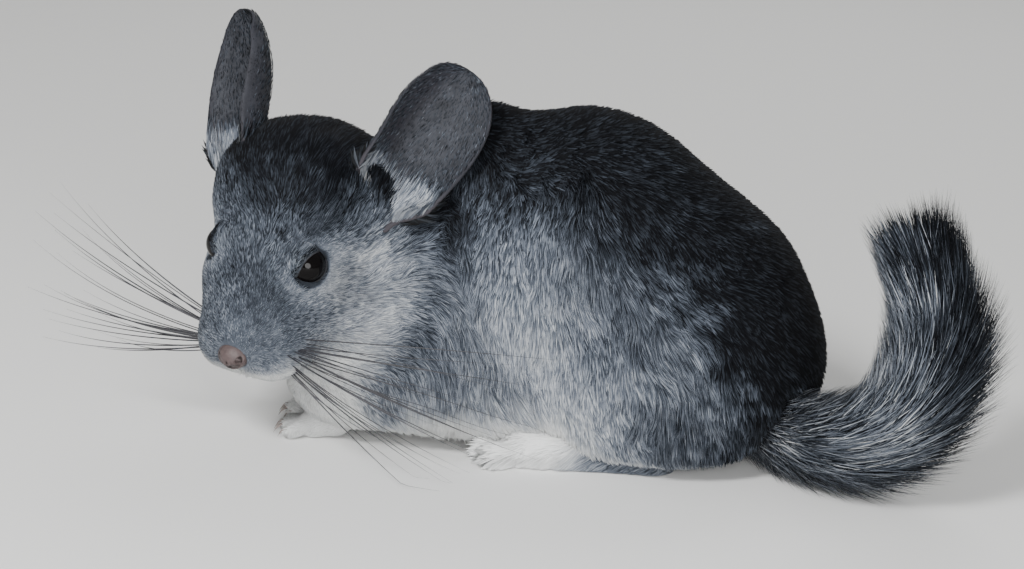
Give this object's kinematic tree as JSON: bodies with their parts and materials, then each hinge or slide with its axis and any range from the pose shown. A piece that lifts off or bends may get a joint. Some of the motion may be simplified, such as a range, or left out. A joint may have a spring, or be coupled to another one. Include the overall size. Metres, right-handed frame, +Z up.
{
  "type": "chinchilla",
  "caption": "Life-size chinchilla crouched at rest, head turned and lowered, rounded cup ears, long whiskers, bushy tail curled up behind.",
  "frame": {"origin": "on the floor, under the middle of the whole model's box", "axes": "+Z up; the body points along -X, with its left side towards -Y; the tail is at +X"},
  "size_m": [0.317, 0.1362, 0.1354],
  "materials": {
    "coat": "dense soft fur, dark blue-grey above, paler on the flank, white below",
    "tail": "longer grey hair with black bristles along the outer side",
    "ear": "thin dark skin with fine short hair, pink at the base",
    "eye": "wet black",
    "nose": "moist dull pink-brown skin",
    "whisker": "stiff black hair",
    "foot": "pale skin under short white fur"
  },
  "bodies": {
    "root": {"head": "coat", "neck": "coat", "torso": "coat", "nose": "nose", "left_eye": "eye", "right_eye": "eye", "left_ear": "ear", "right_ear": "ear", "left_whisker_pad": "whisker", "right_whisker_pad": "whisker", "left_haunch": "coat", "right_haunch": "coat", "left_foreleg": "coat", "right_foreleg": "coat", "left_forepaw": "foot", "right_forepaw": "foot", "left_hind_foot": "foot", "right_hind_foot": "foot", "tail_root": "tail", "tail_bend": "tail", "tail_rise": "tail", "tail_tip": "tail"}
  },
  "joints": []
}
